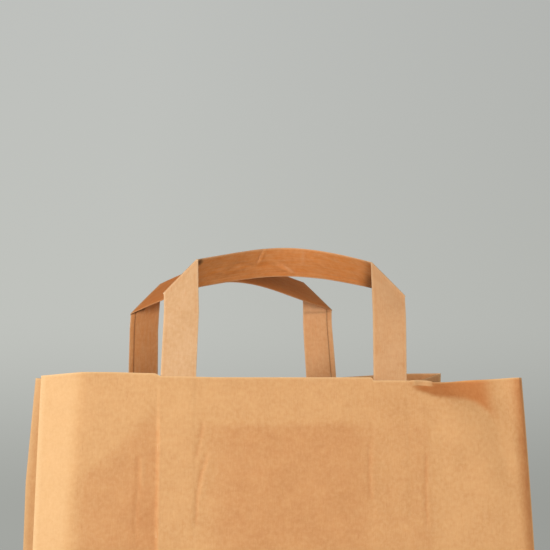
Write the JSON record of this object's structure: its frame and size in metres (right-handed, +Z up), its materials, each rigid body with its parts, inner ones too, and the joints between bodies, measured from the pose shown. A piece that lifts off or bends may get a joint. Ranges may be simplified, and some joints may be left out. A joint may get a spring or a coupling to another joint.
{
  "type": "paper carrier bag",
  "caption": "Plain brown kraft-paper carrier bag with folded side gussets, a block bottom and flat folded-tape handles glued inside under paper patches.",
  "frame": {"origin": "middle of the base, on the surface that the bag stands on", "axes": "+Z up through the open mouth, -Y out of the front panel, +X to the right as seen from the front"},
  "size_m": [0.3241, 0.1703, 0.5286],
  "materials": {
    "kraft_sheet": "uncoated brown kraft, matt, with faint machine ribbing",
    "kraft_tape": "folded plies of uncoated brown kraft, matt",
    "kraft_patch": "uncoated brown kraft, matt"
  },
  "bodies": {
    "root": {"bag_body": "kraft_sheet", "front_handle": "kraft_tape", "rear_handle": "kraft_tape", "front_handle_patch": "kraft_patch", "rear_handle_patch": "kraft_patch"}
  },
  "joints": []
}
